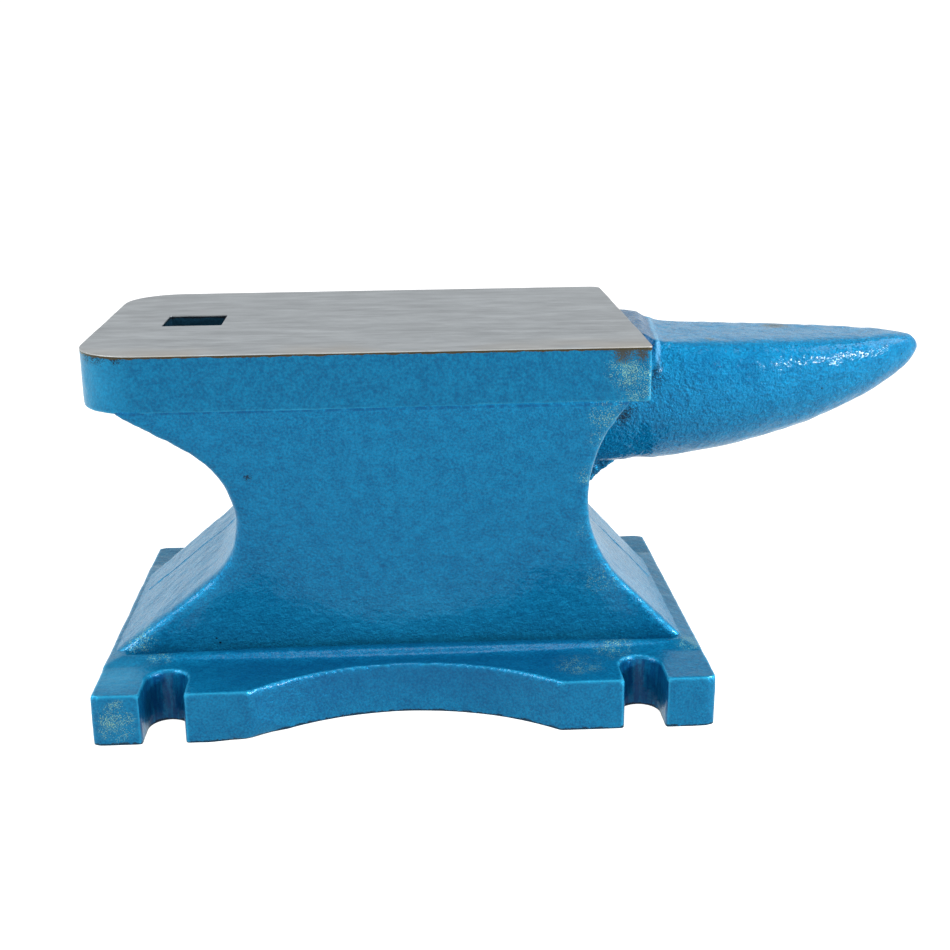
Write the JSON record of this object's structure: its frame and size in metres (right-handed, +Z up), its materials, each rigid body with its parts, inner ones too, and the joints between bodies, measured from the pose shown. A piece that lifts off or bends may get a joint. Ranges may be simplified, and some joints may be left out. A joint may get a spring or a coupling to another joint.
{
  "type": "anvil",
  "caption": "Small single-horn shop anvil with a hardy hole in the heel, a hollow-ended waist and a footed base with open bolt notches.",
  "frame": {"origin": "centre of the underside of the base, midway between the ends of the feet", "axes": "+X along the anvil towards the tip of the horn, +Y towards the back long side, +Z up, normal to the working face"},
  "size_m": [0.3725, 0.185, 0.162],
  "materials": {
    "blue_enamel": "satin metallic blue enamel over a rough cast skin, with fine orange peel",
    "ground_face": "bare ground working face with fine lengthwise grinding marks"
  },
  "bodies": {
    "root": {"base": "blue_enamel", "waist": "blue_enamel", "top_plate": "blue_enamel", "horn": "blue_enamel"}
  },
  "joints": []
}
